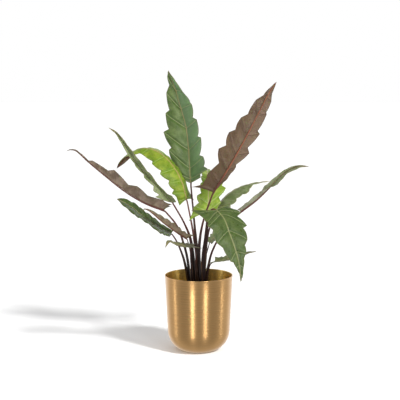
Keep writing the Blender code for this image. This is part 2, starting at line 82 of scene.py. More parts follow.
LEAF_FIELDS = ("name", "foot", "stalk", "neck", "rib", "faces", "half", "lobes", "fold", "radii")
LEAVES = [dict(zip(LEAF_FIELDS, row)) for row in (
    ("leaf_01", (0, 9), ((-3, 4, 205), (-6, 12, 259), (-12, 23, 317)), (-19, 32, 391), ((-23, 42, 468),
     (-30, 51, 526), (-42, 59, 568), (-56, 67, 614), (-72, 76, 655)), ((-0.35, -0.93, 0.15), (-0.6, -0.8, 0.15)),
     (50, 48), ((18, 36), (11, 31)), 22, (3.2, 2.0)),
    ("leaf_02", (7, -9), ((1, -8, 208), (3, -10, 261), (12, -16, 312)), (33, -28, 375), ((70, -45, 437),
     (104, -62, 500), (134, -78, 560), (153, -88, 598), (171, -96, 627)), ((-0.35, 0.85, 0.25), (0.15, 0.9, 0.3)),
     (29, 38), ((16, 5), (-10, 54)), 18, (3.2, 2.0)),
    ("leaf_03", (-15, 6), ((-6, 12, 206), (-11, 14, 258), (-19, 15, 308)), (-28, 14, 354), ((-40, 10, 397),
     (-61, 14, 434), (-92, 24, 463), (-132, 36, 473), (-166, 46, 458), (-195, 52, 423)), ((0.6, -0.8, 0.2),
     (0.48, -0.62, 0.53), (0.3, -0.5, 0.8), (0.05, -0.5, 0.87), (-0.5, 0.3, 0.6), (-0.6, 0.8, 0.2)), (38, 24),
     ((-9, 20), (-14, 34)), -22, (3.0, 1.8)),
    ("leaf_04", (-10, 0), ((-13, -2, 208), (-19, -8, 262), (-34, -20, 304)), (-60, -38, 353), ((-98, -58, 397),
     (-134, -76, 441), (-162, -90, 486), (-181, -98, 514), (-198, -104, 527)), ((-0.05, -1.0, 0.0),
     (0.0, -1.0, 0.1)), (20, 17), ((46, 27), (-1, 14)), 50, (3.2, 1.8)),
    ("leaf_05", (-21, 3), ((-26, 8, 207), (-37, 12, 254), (-52, 16, 293)), (-81, 20, 328), ((-127, 26, 345),
     (-174, 32, 372), (-221, 38, 408), (-262, 44, 441), (-288, 48, 464), (-303, 50, 468), (-314, 51, 464)),
     ((0.4, 0.3, 0.87), (0.4, 0.3, 0.87), (0.4, 0.3, 0.87), (0.4, 0.3, 0.87), (0.4, 0.3, 0.87), (-0.5, 0.3, 0.8)),
     (27, 25), ((-14, 24), (-10, 22)), 52, (3.2, 2.0)),
    ("leaf_06", (-20, -4), ((-33, -8, 207), (-43, -20, 242), (-52, -34, 265)), (-62, -48, 283), ((-92, -66, 301),
     (-120, -84, 324), (-152, -104, 353), (-180, -120, 371)), ((0.35, -0.42, 0.84), (0.3, -0.45, 0.84)), (27, 25),
     ((15, 26), (-6, 10)), 14, (3.2, 1.6)),
    ("leaf_07", (-14, -6), ((-18, -16, 211), (-20, -30, 242)), (-27, -46, 271), ((-51, -62, 289), (-80, -82, 314),
     (-106, -100, 339), (-119, -108, 347), (-122, -112, 342)), ((0.3, 0.15, 0.9), (0.3, 0.2, 0.9)), (17, 15),
     ((-6, 22), (-6, 14)), 46, (2.4, 1.2)),
    ("leaf_08", (4, -15), ((-6, -21, 198), (-6, -34, 228)), (-10, -52, 255), ((-31, -72, 260), (-51, -92, 266),
     (-66, -106, 274), (-74, -116, 262)), ((0.1, -0.42, 0.9), (0.1, -0.42, 0.9)), (13, 12), ((-16, 11), (-12, 9)), 6,
     (2.2, 1.1)),
    ("leaf_09", (14, -10), ((10, -18, 211), (15, -32, 265), (21, -54, 314), (28, -72, 340)), (39, -86, 343),
     ((56, -104, 325), (68, -118, 295), (80, -128, 263), (90, -134, 224), (93, -134, 188)), ((0.2, -0.6, 0.75),
     (0.1, -0.9, 0.35), (0.1, -1.0, 0.1)), (34, 34), ((-3, 43), (-23, 53)), 8, (3.4, 2.0)),
    ("leaf_10", (5, 4), ((9, 6, 206), (14, 10, 258)), (21, 14, 321), ((23, 30, 362), (22, 58, 396), (21, 92, 413),
     (20, 132, 416)), ((0.0, -1.0, 0.3), (0.0, -0.6, 0.8), (0.0, -0.1, 1.0)), (32, 34), ((-22, 44), (6, 24)), 12,
     (3.0, 1.8)),
    ("leaf_11", (10, 14), ((16, 14, 206), (20, 24, 257), (29, 34, 294)), (43, 44, 330), ((65, 54, 357),
     (94, 66, 376), (131, 82, 386), (173, 102, 389)), ((-0.2, -0.25, 0.95), (-0.2, -0.25, 0.95)), (24, 28),
     ((-6, 18), (-4, 22)), -24, (3.0, 1.6)),
    ("leaf_12", (11, 7), ((22, 0, 194), (33, 4, 236), (62, 10, 287)), (98, 16, 325), ((134, 10, 353), (166, 2, 385),
     (199, -8, 419), (228, -18, 434), (252, -28, 435)), ((-0.45, 0.2, 0.85), (-0.45, 0.2, 0.85), (-0.45, 0.2, 0.85),
     (-0.38, -0.85, 0.35), (-0.32, -0.93, 0.15), (-0.32, -0.93, 0.15), (-0.32, -0.93, 0.15)), (12, 13), ((-2, 9),
     (-2, 11)), 46, (3.4, 1.8)),
    ("leaf_13", (15, -17), ((24, -26, 200),), (37, -36, 217), ((58, -48, 222), (83, -58, 229), (110, -66, 240),
     (131, -72, 246)), ((-0.2, -0.4, 0.9), (-0.2, -0.3, 0.9)), (14, 12), ((-4, 14), (-12, 12)), 16, (2.2, 1.1)),
    ("leaf_14", (3, 15), ((14, 22, 205), (22, 32, 234)), (26, 40, 248), ((41, 54, 262), (58, 68, 276),
     (78, 82, 287)), ((-0.4, -0.7, 0.6), (-0.3, -0.7, 0.6)), (14, 14), ((-5, 10), (-5, 10)), 14, (1.8, 1.0)),
)]

# The toothed margins, minus side then plus side, base to tip: the shoulder notch, then tooth and notch in turn.
# Each point is how far along the midrib it lies and how far out, in hundredths of its length and of the half width.
PLAIN_MARGINS = (
    ((7, 72), (15, 86), (19, 68), (28, 98), (31.5, 76), (41, 100), (44.5, 78), (55, 86), (58.5, 66), (69, 62),
     (72.5, 46), (84, 32), (90, 18)),
    ((9, 72), (18, 86), (22, 68), (31, 98), (34.5, 76), (44, 100), (47.5, 78), (58, 86), (61.5, 66), (72, 62),
     (75.5, 46), (87, 30), (93, 15)),
)
MARGINS = dict(
    leaf_01=(
        ((10, 77), (13, 90), (18, 80), (30, 100), (32, 88), (48, 119), (50, 90), (65.4, 83), (67, 60), (82, 49),
         (88, 23), (95, 17), (98, 8)),
        ((6.8, 64), (11.5, 110), (13.5, 87), (21.5, 93), (23, 67), (37, 89), (38.5, 65), (51.5, 82), (54, 56),
         (64.3, 80), (66.5, 68), (76, 53), (88, 20))),
    leaf_02=(
        ((7.5, 24), (15.3, 53), (20, 50), (26, 64), (28, 47), (40.3, 103), (44.2, 60), (57.5, 98), (59.5, 64),
         (73.5, 70), (75.5, 54), (84.5, 52), (90.5, 22)),
        ((1.9, 87), (15, 87), (23.5, 67), (33.6, 113), (38.7, 83), (48.8, 105), (53, 78), (63.4, 81), (68.2, 54),
         (80.5, 50), (86.4, 22), (92, 17), (96, 8))),
    leaf_03=(
        ((5, 58), (10, 76), (12.3, 62), (20.8, 80), (23, 68), (34, 95), (36, 77), (49, 87), (51.5, 70), (66.5, 52),
         (69, 46), (82, 70), (87, 60)),
        ((7, 78), (17.5, 88), (21, 70), (30.5, 98), (34, 78), (43.5, 100), (47, 80), (56.5, 90), (60, 76),
         (68.5, 84), (72, 66), (80.5, 62), (90, 36))),
    leaf_04=(
        ((17, 68), (25, 88), (27, 36), (40.5, 60), (42.5, 26), (54.5, 50), (57, 32), (67, 48), (69.5, 42), (80, 34),
         (82, 28), (90, 20), (94, 12)),
        ((4, 98), (9, 96), (12, 48), (25, 48), (30, 50), (41, 90), (43.5, 62), (57, 94), (63, 66), (75, 48), (78, 40),
         (88, 30), (93, 16))),
    leaf_05=(
        ((-1, 80), (5, 94), (18, 86), (30, 118), (37.5, 76), (55, 110), (59, 62), (74.5, 38), (77.5, 13), (84, 12),
         (88, 10), (92, 9), (95, 7)),
        ((1, 78), (8, 86), (11, 74), (31, 98), (37, 70), (53, 86), (58, 58), (74, 36), (78, 13), (84, 12), (88, 10),
         (92, 9), (95, 7))),
    leaf_06=(
        ((14, 104), (21, 109), (23, 106), (29, 116), (32, 95), (46, 92), (49, 88), (60, 98), (63, 98), (72, 122),
         (76, 114), (87, 95), (92, 72)),
        ((4, 50), (14, 60), (18, 60), (30, 84), (34, 80), (44, 82), (48, 76), (58, 76), (62, 74), (72, 72), (76, 62),
         (86, 53), (92, 42))),
    leaf_09=(
        ((3.7, 84), (17.8, 129), (19.5, 94), (34.3, 130), (36.5, 100), (52, 96), (57.4, 68), (67.4, 59), (71.8, 40),
         (82.5, 25), (86, 20), (93.5, 14), (96, 8)),
        ((2.5, 128), (13, 117), (16, 116), (22, 126), (28, 101), (44.3, 104), (52.3, 76), (72, 53), (74, 34),
         (81.5, 24), (84, 17), (88.7, 8), (94, 3))),
    leaf_10=(
        ((1, 112), (9, 100), (14.5, 70), (24.5, 87), (29.5, 55), (44, 60), (49, 42), (58, 52), (62, 42), (74, 44),
         (78, 34), (88, 26), (94, 14)),
        ((8.5, 66), (17.5, 88), (24, 72), (36, 124), (41, 95), (50, 100), (54, 70), (62, 66), (66, 46), (74, 34),
         (78, 24), (88, 18), (94, 9))),
    leaf_11=(
        ((4, 80), (14, 86), (18, 70), (27, 98), (31, 78), (41, 96), (45, 76), (53, 84), (57, 62), (66, 40), (70, 32),
         (84, 20), (91, 12)),
        ((4, 80), (12, 98), (15, 86), (27.5, 102), (31.5, 82), (44, 84), (46.5, 86), (57, 80), (61, 52), (69, 24),
         (73, 18), (85, 14), (92, 8))),
    leaf_12=(
        ((5, 80), (12, 90), (16, 75), (26, 95), (30, 78), (42, 95), (46, 75), (57, 80), (61, 62), (72, 62), (76, 50),
         (87, 36), (92, 22)),
        ((5, 80), (12, 95), (15, 88), (27, 100), (31, 85), (42, 80), (47, 62), (56, 155), (62, 112), (69, 88),
         (73, 62), (86, 75), (90, 36))),
)

def hues(light, dark, vein, rib, edge, **more):
    return dict(light=light, dark=dark, vein=vein, rib=rib, edge=edge, **more)


# How each leaf looks, in display colours from 0 to 255: ground light, ground dark, veins, midrib, margin; a few
# leaves also carry painted crease shade beside the veins and a painted sheen on one half.
UNDER_PLAIN = hues((126, 106, 84), (102, 82, 62), (84, 60, 46), (112, 62, 46), (92, 72, 50))
UPPER_PLAIN = hues((112, 124, 78), (86, 102, 56), (138, 142, 98), (150, 140, 98), (100, 90, 54))

LOOKS = {
    "leaf_01": dict(
        # Painted light on this leaf: a dark green band beside the veins is painted crease shade, and a pale
        # blue-green right half is a painted sheen.
        slot="leaf_green", stalk=("brown", 1.0), ruffle=1.8, upper=hues((104, 122, 68), (72, 94, 38),
        (146, 154, 106), (160, 146, 98), (96, 84, 52), vein_show=0.8, vein_width=0.9, shine=0.34, halo=(58, 86, 28),
        cast=(102, 134, 90))),
    "leaf_02": dict(
        # Painted light on this leaf: one half of the underside is tinted paler and pinker, as a painted sheen.
        slot="leaf_bronze", stalk=("maroon", 1.0), ruffle=1.8, under=hues((114, 91, 67), (95, 73, 52), (78, 54, 42),
        (150, 90, 62), (84, 64, 46), vein_show=0.9, vein_width=0.7, shine=0.3, base=(90, 70, 50),
        cast=(126, 104, 86), cast_side=-1.0)),
    "leaf_03": dict(
        # A dark lime band beside the veins here is painted crease shade.
        slot="leaf_lime", stalk=("pink", 1.0), ruffle=1.4, upper=hues((144, 160, 50), (106, 132, 26),
        (164, 178, 88), (172, 146, 98), (118, 122, 44), vein_show=0.75, vein_width=0.8, shine=0.3, glow=0.2,
        halo=(96, 134, 22)), under=dict(UNDER_PLAIN, light=(122, 92, 66), dark=(98, 70, 48))),
    "leaf_04": dict(
        slot="leaf_grey_green", stalk=("maroon", 1.0), ruffle=1.0, upper=hues((136, 144, 104), (100, 114, 70),
        (140, 144, 104), (172, 164, 132), (126, 114, 82), vein_show=0.5, shine=0.36)),
    "leaf_05": dict(
        slot="leaf_bronze", stalk=("maroon", 1.0), ruffle=1.2, under=hues((150, 131, 112), (110, 92, 74),
        (96, 72, 58), (98, 64, 52), (108, 92, 68), vein_show=0.5, shine=0.36, tip=(112, 130, 84))),
    "leaf_06": dict(
        slot="leaf_green", stalk=("maroon", 1.0), ruffle=1.2, upper=hues((68, 84, 38), (46, 63, 22), (104, 116, 72),
        (138, 132, 92), (82, 74, 42), vein_show=0.5, shine=0.2)),
    "leaf_07": dict(
        slot="leaf_grey_green", stalk=("maroon", 0.7), ruffle=0.8, upper=dict(UPPER_PLAIN, tip=(200, 150, 66)),
        under=hues((152, 134, 112), (118, 102, 80), (104, 80, 62), (116, 78, 60), (102, 116, 64), vein_show=0.4,
        shine=0.38, tip=(206, 154, 68))),
    "leaf_08": dict(
        slot="leaf_bronze", stalk=("maroon", 0.7), ruffle=0.6, upper=dict(UPPER_PLAIN, light=(108, 108, 70),
        dark=(84, 86, 52)), under=hues((112, 93, 62), (85, 69, 43), (78, 60, 42), (96, 60, 44), (96, 92, 54),
        vein_show=0.4, shine=0.38)),
    "leaf_09": dict(
        # A dark green band beside the veins here is painted crease shade.
        slot="leaf_green", stalk=("maroon", 1.0), ruffle=1.8, upper=hues((84, 100, 50), (62, 80, 34),
        (138, 144, 98), (134, 136, 92), (104, 98, 58), vein_show=0.75, vein_width=0.75, shine=0.3,
        halo=(54, 78, 30))),
    "leaf_10": dict(
        # A dark lime band beside the veins here is painted crease shade.
        slot="leaf_lime", stalk=("brown", 1.0), ruffle=1.4, upper=hues((166, 184, 78), (118, 150, 32),
        (176, 188, 116), (184, 176, 124), (120, 134, 44), vein_show=0.8, vein_width=1.0, shine=0.3, glow=0.2,
        halo=(122, 154, 26), halo_show=0.45), under=dict(UNDER_PLAIN, light=(132, 124, 76), dark=(108, 98, 54))),
    "leaf_11": dict(
        slot="leaf_grey_green", stalk=("maroon", 0.9), ruffle=1.4, upper=hues((120, 130, 88), (92, 104, 60),
        (150, 156, 116), (168, 160, 124), (176, 170, 140), vein_show=0.6, shine=0.34)),
    "leaf_12": dict(
        slot="leaf_grey_green", stalk=("maroon", 1.0), ruffle=0.8, upper=hues((146, 152, 118), (118, 128, 90),
        (158, 162, 128), (150, 116, 94), (138, 130, 100), vein_show=0.45, shine=0.36), under=hues((158, 160, 134),
        (130, 132, 106), (114, 98, 76), (112, 78, 64), (122, 112, 86), vein_show=0.45, shine=0.38)),
    "leaf_13": dict(
        slot="leaf_grey_green", stalk=("maroon", 0.7), ruffle=0.8, upper=dict(UPPER_PLAIN, light=(118, 126, 84),
        dark=(90, 100, 58), tip=(206, 130, 58)), under=dict(UNDER_PLAIN, tip=(200, 132, 64))),
    "leaf_14": dict(
        slot="leaf_grey_green", stalk=("maroon", 0.7), ruffle=0.8, upper=dict(UPPER_PLAIN, light=(140, 150, 116),
        dark=(114, 126, 90))),
}

STALKS = {
    "brown": dict(low=(32, 22, 14), high=(92, 54, 42), blush=(60, 36, 28)),
    "maroon": dict(low=(30, 18, 14), high=(100, 54, 46), blush=(66, 34, 36)),
    "pink": dict(low=(58, 34, 32), high=(138, 92, 84), blush=(96, 58, 58)),
}


def srgb(r, g, b):
    """A colour given as 0-255 display values, in linear light."""
    out = []
    for value in (r, g, b):
        c = value / 255
        out.append(c / 12.92 if c <= 0.04045 else ((c + 0.055) / 1.055) ** 2.4)
    return (*out, 1.0)


def tone(r, g, b):
    """A leaf or stalk colour, given as it should look."""
    return (*[LEAF_ALBEDO * value for value in srgb(r, g, b)[:3]], 1.0)


class Nodes:
    """Short calls for building the node tree of one material, or of the world."""

    def __init__(self, name, owner=None):
        self.material = owner or bpy.data.materials.new(name)
        self.material.use_nodes = True
        self.tree = self.material.node_tree
        self.shader = self.tree.nodes.get("Principled BSDF")

    def node(self, kind, **settings):
        made = self.tree.nodes.new(kind)
        for key, value in settings.items():
            setattr(made, key, value)
        return made

    def put(self, socket, value):
        if isinstance(value, bpy.types.NodeSocket):
            self.tree.links.new(value, socket)
        else:
            socket.default_value = value

    def attribute(self, name):
        return self.node("ShaderNodeAttribute", attribute_name=name).outputs["Fac"]

    def flat(self):
        """The leaf's own flat map: along and across, 1 for each 10 cm."""
        return self.node("ShaderNodeUVMap", uv_map="flat").outputs["UV"]

    def place(self):
        return self.node("ShaderNodeTexCoord").outputs["Object"]

    def stretch(self, vector, scale, move=(0, 0, 0)):
        made = self.node("ShaderNodeMapping")
        self.put(made.inputs["Vector"], vector)
        made.inputs["Scale"].default_value = scale
        made.inputs["Location"].default_value = move
        return made.outputs["Vector"]

    def noise(self, vector, scale, detail=3.0, rough=0.5, warp=0.0):
        made = self.node("ShaderNodeTexNoise")
        self.put(made.inputs["Vector"], vector)
        for socket, value in (("Scale", scale), ("Detail", detail), ("Roughness", rough), ("Distortion", warp)):
            made.inputs[socket].default_value = value
        return made.outputs["Fac"]

    def cells(self, vector, scale):
        made = self.node("ShaderNodeTexVoronoi", feature="DISTANCE_TO_EDGE")
        self.put(made.inputs["Vector"], vector)
        made.inputs["Scale"].default_value = scale
        return made.outputs["Distance"]

    def span(self, value, low, high, to_low=0.0, to_high=1.0):
        made = self.node("ShaderNodeMapRange", interpolation_type="SMOOTHSTEP")
        self.put(made.inputs["Value"], value)
        for socket, number in (("From Min", low), ("From Max", high), ("To Min", to_low), ("To Max", to_high)):
            made.inputs[socket].default_value = number
        return made.outputs["Result"]

    def math(self, operation, a, b=0.0):
        made = self.node("ShaderNodeMath", operation=operation)
        self.put(made.inputs[0], a)
        self.put(made.inputs[1], b)
        return made.outputs[0]

    def mix(self, share, a, b):
        made = self.node("ShaderNodeMix", data_type="RGBA")
        self.put(made.inputs["Factor"], share)
        self.put(made.inputs[6], a)
        self.put(made.inputs[7], b)
        return made.outputs[2]

    def bump(self, height, strength, distance):
        made = self.node("ShaderNodeBump")
        self.put(made.inputs["Height"], height)
        made.inputs["Strength"].default_value = strength
        made.inputs["Distance"].default_value = distance
        return made.outputs["Normal"]

    def finish(self, colour, roughness, normal=None, **constants):
        self.put(self.shader.inputs["Base Color"], colour)
        self.put(self.shader.inputs["Roughness"], roughness)
        if normal is not None:
            self.put(self.shader.inputs["Normal"], normal)
        for key, value in constants.items():
            self.shader.inputs[key.replace("_", " ")].default_value = value
        return self.material


def leaf_face(name, light, dark, vein, rib, edge, shine=0.36, vein_width=0.55, vein_show=0.75, halo=None,
              halo_show=0.6, tip=None, base=None, cast=None, cast_side=1.0, glow=0.12):
    """A living leaf surface: mottled ground, pale or dark veins that branch, a coloured margin and midrib; where
    given, painted crease shade beside the veins and a painted sheen on one half.
    """
    n = Nodes(name)
    flat = n.flat()
    mottle = n.noise(flat, 5.0, 4.0, 0.55, 0.4)
    colour = n.mix(n.span(mottle, 0.36, 0.64), light, dark)
    rays = n.noise(n.stretch(flat, (26.0, 3.0, 1.0)), 1.0, 3.0, 0.6)
    colour = n.mix(n.span(rays, 0.35, 0.75, 0.0, 0.28), colour, dark)
    vein_mm = n.attribute("vein_mm")
    # Painted shade: a darker band along each main vein, fading out over about 8 mm, stands for the shade in the
    # creases there.
    if halo is not None:
        colour = n.mix(n.span(vein_mm, 0.8, 8.0, halo_show, 0.0), colour, halo)
    # Painted sheen: from just past the midrib outward, one half of the blade is tinted paler, as if it caught the
    # light.
    if cast is not None:
        across = n.node("ShaderNodeSeparateXYZ")
        n.put(across.inputs[0], flat)
        beside = n.math("MULTIPLY", across.outputs["Y"], cast_side)
        colour = n.mix(n.span(beside, -0.004, 0.012, 0.0, 0.75), colour, cast)
    if base is not None:
        colour = n.mix(n.span(n.attribute("along"), 0.02, 0.42, 0.85, 0.0), colour, base)
    if tip is not None:
        colour = n.mix(n.span(n.attribute("along"), 0.86, 0.99), colour, tip)
    net = n.cells(n.stretch(flat, (1.0, 1.15, 1.0)), 24.0)
    net_line = n.span(net, 0.015, 0.09, 1.0, 0.0)
    colour = n.mix(n.math("MULTIPLY", net_line, 0.16), colour, vein)
    twigs = n.span(n.attribute("twig_mm"), 0.1, 0.5, 0.4 * vein_show, 0.0)
    colour = n.mix(twigs, colour, vein)
    main = n.span(vein_mm, vein_width * 0.35, vein_width * 1.5, vein_show, 0.0)
    colour = n.mix(main, colour, vein)
    colour = n.mix(n.span(n.attribute("rib_mm"), 0.9, 1.9, 0.9, 0.0), colour, rib)
    rim = n.span(n.attribute("edge_mm"), 0.35, 1.5, 0.85, 0.0)
    colour = n.mix(rim, colour, edge)
    grain = n.noise(flat, 190.0, 2.0, 0.6)
    height = n.math("ADD", n.math("MULTIPLY", n.math("ADD", main, n.math("MULTIPLY", twigs, 0.5)), -0.9),
                    n.math("MULTIPLY", net_line, -0.25))
    height = n.math("ADD", height, n.math("MULTIPLY", grain, 0.18))
    normal = n.bump(height, 0.55, 0.0006)
    roughness = n.span(n.noise(flat, 9.0, 3.0), 0.3, 0.7, shine - 0.05, shine + 0.11)
    return n.finish(colour, roughness, normal, Specular_IOR_Level=0.35, Subsurface_Weight=glow,
                    Subsurface_Scale=0.002, Subsurface_Radius=(0.6, 1.0, 0.2))


def stalk_skin(name, low, high, blush, shine=0.32, turn=(0.25, 0.95)):
    """A smooth fleshy stalk, one colour at its foot and another at its neck, with a papery sheath edge."""
    n = Nodes(name)
    place = n.place()
    streak = n.noise(n.stretch(place, (260.0, 260.0, 14.0)), 1.0, 3.0, 0.6)
    colour = n.mix(n.span(n.attribute("along"), *turn), low, high)
    colour = n.mix(n.span(streak, 0.4, 0.75, 0.0, 0.45), colour, blush)
    spots = n.noise(place, 420.0, 2.0)
    colour = n.mix(n.span(spots, 0.6, 0.72, 0.0, 0.3), colour, blush)
    wing = n.span(n.attribute("wing"), 0.4, 0.9)
    colour = n.mix(n.math("MULTIPLY", wing, n.span(streak, 0.35, 0.6, 0.35, 0.9)), colour, tone(134, 92, 54))
    normal = n.bump(streak, 0.35, 0.0004)
    roughness = n.span(streak, 0.3, 0.7, shine, shine + 0.12)
    return n.finish(colour, roughness, normal, Specular_IOR_Level=0.35)


def brushed_gold():
    n = Nodes("brushed_gold")
    place = n.place()
    fine = n.noise(n.stretch(place, (9.0, 9.0, 3600.0)), 1.0, 4.0, 0.7)
    wide = n.noise(n.stretch(place, (4.0, 4.0, 900.0)), 1.0, 3.0, 0.6)
    cloud = n.noise(place, 14.0, 3.0, 0.5)
    colour = n.mix(n.span(wide, 0.3, 0.7), srgb(232, 186, 126), srgb(226, 177, 117))
    colour = n.mix(n.span(cloud, 0.35, 0.7, 0.0, 0.3), colour, srgb(216, 172, 114))
    colour = n.mix(n.span(fine, 0.45, 0.7, 0.0, 0.16), colour, srgb(196, 150, 92))
    # Painted reflection: where the surface turns away toward the silhouette, the gold is tinted pale pink to stand
    # for the bright surroundings it reflects.
    edge = n.node("ShaderNodeLayerWeight")
    colour = n.mix(n.span(edge.outputs["Facing"], 0.5, 0.95, 0.0, 0.65), colour, srgb(232, 202, 166))
    # Painted light: where the surface faces the pot's axis, the inner wall is a separately tinted copy of the gold,
    # set to how it looks in the light it catches.
    points = n.node("ShaderNodeTexCoord")
    outward = n.node("ShaderNodeVectorMath", operation="DOT_PRODUCT")
    n.put(outward.inputs[0], n.stretch(points.outputs["Object"], (1.0, 1.0, 0.0)))
    n.put(outward.inputs[1], points.outputs["Normal"])
    colour = n.mix(n.span(outward.outputs["Value"], -0.03, -0.005, 1.0, 0.0), colour, srgb(216, 186, 112))
    rough = n.math("ADD", n.span(fine, 0.3, 0.7, 0.25, 0.36), n.span(wide, 0.3, 0.7, -0.02, 0.03))
    normal = n.bump(n.math("ADD", fine, n.math("MULTIPLY", wide, 0.4)), 0.02, 0.0001)
    tangent = n.node("ShaderNodeTangent", direction_type="RADIAL", axis="Z")
    n.put(n.shader.inputs["Tangent"], tangent.outputs["Tangent"])
    return n.finish(colour, rough, normal, Metallic=1.0, Anisotropic=0.85, Anisotropic_Rotation=0.25)


def nursery_plastic():
    n = Nodes("nursery_plastic")
    place = n.place()
    scuff = n.noise(n.stretch(place, (30.0, 30.0, 90.0)), 1.0, 4.0, 0.65)
    dust = n.noise(place, 46.0, 4.0, 0.6)
    colour = n.mix(n.span(scuff, 0.45, 0.75), srgb(26, 26, 27), srgb(52, 51, 50))
    colour = n.mix(n.span(dust, 0.56, 0.74, 0.0, 0.5), colour, srgb(78, 66, 54))
    normal = n.bump(n.noise(place, 900.0, 2.0), 0.2, 0.0002)
    return n.finish(colour, n.span(scuff, 0.3, 0.7, 0.42, 0.6), normal)


def potting_mix(name, light, dark):
    n = Nodes(name)
    place = n.place()
    clod = n.noise(place, 90.0, 5.0, 0.7)
    fibre = n.noise(n.stretch(place, (500.0, 120.0, 300.0)), 1.0, 3.0, 0.7, 0.6)
    colour = n.mix(n.span(clod, 0.35, 0.7), dark, light)
    colour = n.mix(n.span(fibre, 0.6, 0.75, 0.0, 0.6), colour, srgb(104, 78, 54))
    normal = n.bump(n.math("ADD", clod, n.math("MULTIPLY", fibre, 0.5)), 0.7, 0.0015)
    return n.finish(colour, n.span(clod, 0.3, 0.7, 0.82, 0.98), normal)


def rhizome_bark():
    n = Nodes("rhizome_bark")
    place = n.place()
    rings = n.noise(n.stretch(place, (40.0, 40.0, 700.0)), 1.0, 4.0, 0.65, 0.4)
    colour = n.mix(n.span(rings, 0.35, 0.65), srgb(92, 60, 38), srgb(146, 108, 72))
    colour = n.mix(n.span(n.noise(place, 160.0, 3.0), 0.5, 0.7, 0.0, 0.5), colour, srgb(58, 36, 26))
    normal = n.bump(rings, 0.7, 0.0012)
    return n.finish(colour, n.span(rings, 0.3, 0.7, 0.6, 0.85), normal)


def studio_floor():
    n = Nodes("studio_floor")
    tint = n.noise(n.place(), 3.0, 2.0)
    colour = n.mix(n.span(tint, 0.3, 0.7), srgb(244, 244, 244), srgb(241, 241, 241))
    return n.finish(colour, 0.9, None, Specular_IOR_Level=0.1)


def smooth(points, per_span):
    """A smooth run of points that passes through every one of `points`."""
    ends = np.vstack([2 * points[0] - points[1], points, 2 * points[-1] - points[-2]])
    run = []
    for a, b, c, d in zip(ends, ends[1:], ends[2:], ends[3:]):
        for step in range(per_span):
            t = step / per_span
            square, cube = 2 * a - 5 * b + 4 * c - d, 3 * b - a - 3 * c + d
            run.append(0.5 * (2 * b + (c - a) * t + square * t * t + cube * t ** 3))
    run.append(points[-1])
    return np.array(run)


def unit(vectors):
    return vectors / np.maximum(np.linalg.norm(vectors, axis=-1, keepdims=True), 1e-12)


class Rib:
    """A midrib that gives its place, heading, side and upper-face directions at any distances along it."""

    def __init__(self, points, faces):
        self.run = smooth(np.array(points, float) * MM, 30)
        steps = np.linalg.norm(np.diff(self.run, axis=0), axis=1)
        self.at = np.concatenate([[0.0], np.cumsum(steps)])
        self.length = self.at[-1]
        self.faces = unit(np.array(faces, float))

    def place(self, distance):
        return np.stack([np.interp(distance, self.at, self.run[:, k]) for k in range(3)], -1)

    def frames(self, distance):
        inside = np.clip(distance, 0.0, self.length)
        step = self.length / 30
        ahead = unit(self.place(np.minimum(inside + step, self.length)) - self.place(np.maximum(inside - step, 0.0)))
        spots = np.linspace(0.0, self.length, len(self.faces))
        face = np.stack([np.interp(inside, spots, self.faces[:, k]) for k in range(3)], -1)
        face = unit(face - ahead * np.sum(face * ahead, -1, keepdims=True))
        side = np.cross(ahead, face)
        return self.place(inside) + ahead * (distance - inside)[..., None], ahead, side, face


def vein_lines(leaf, length):
    """For both halves, (start on the midrib, end along, end out) of every tooth and notch, base to tip, in metres."""
    margins = MARGINS.get(leaf["name"], PLAIN_MARGINS)
    halves = [[(u / 100 * length, w / 100 * half * MM) for u, w in row] for row, half in zip(margins, leaf["half"])]
    starts = [0.018 * length]
    last = 0.036 * length
    for left, right in zip(halves[0][1:], halves[1][1:]):
        start = max((left[0] + right[0] - VEIN_SWEEP * (left[1] + right[1])) / 2, last)
        starts.append(start)
        last = start + 0.012 * length
    both = []
    for ends, (along, out) in zip(halves, leaf["lobes"]):
        lines = [(0.0, along * MM, out * MM)]
        lines += [(start, *end) for start, end in zip(starts, ends)]
        lines.insert(2, tuple((a + b) / 2 for a, b in zip(lines[1], lines[2])))
        lines.append((length * 0.985, length * 0.996, 0.25 * MM))
        both.append(np.array(lines))
    return both


def is_scallop(i):
    """True for the long stretch of margin that runs from a notch up to the next tooth."""
    return i >= 2 and i % 2 == 0


def fine_rows(both, half):
    """The line numbers of the grid's rows, and both halves' (start, along, out) at each."""
    numbers = []
    for i in range(len(both[0]) - 1):
        reach = max(np.linalg.norm(lines[i + 1, 1:] - lines[i, 1:]) for lines in both)
        count = max(2, int(math.ceil(reach / ROW_STEP)))
        numbers += [i + k / count for k in range(count)]
    numbers = np.array(numbers + [len(both[0]) - 1.0])
    fine = []
    for lines, width in zip(both, half):
        rows = np.stack([np.interp(numbers, np.arange(len(lines)), lines[:, k]) for k in range(3)], -1)
        part = numbers - np.floor(numbers)
        swell = np.array([is_scallop(int(q)) for q in numbers]) * np.sin(np.pi * part ** 0.85)
        rows[:, 2] += swell * width * MM * MARGIN_SWELL * np.clip(rows[:, 2] / (width * MM), 0.2, 1.0)
        fine.append(rows)
    return numbers, fine


def sweep(rows, shares):
    """Flat (along, out) of every grid point of one half."""
    start, along, out = (rows[:, k][:, None] for k in range(3))
    bend = np.where(along < start, 1.7, 1.2)
    return np.stack([start + (along - start) * shares[None, :] ** bend, out * shares[None, :]], -1)


def line_distance(points, line):
    """Distance of flat points to a polyline."""
    best = np.full(points.shape[:-1], 1.0)
    for a, b in zip(line, line[1:]):
        ab = b - a
        t = np.clip(((points - a) @ ab) / max(float(ab @ ab), 1e-12), 0.0, 1.0)
        best = np.minimum(best, np.linalg.norm(points - (a + t[..., None] * ab), axis=-1))
    return best


def waves(points, seed, size):
    """Smooth noise for an array of flat points."""
    shape = points.shape[:-1]
    flat = points.reshape(-1, 2) / size
    values = [noise.noise(Vector((a, b, seed * 7.3))) for a, b in flat]
    return np.array(values).reshape(shape)


def linked(name, data):
    made = bpy.data.objects.new(name, data)
    bpy.context.scene.collection.objects.link(made)
    return made


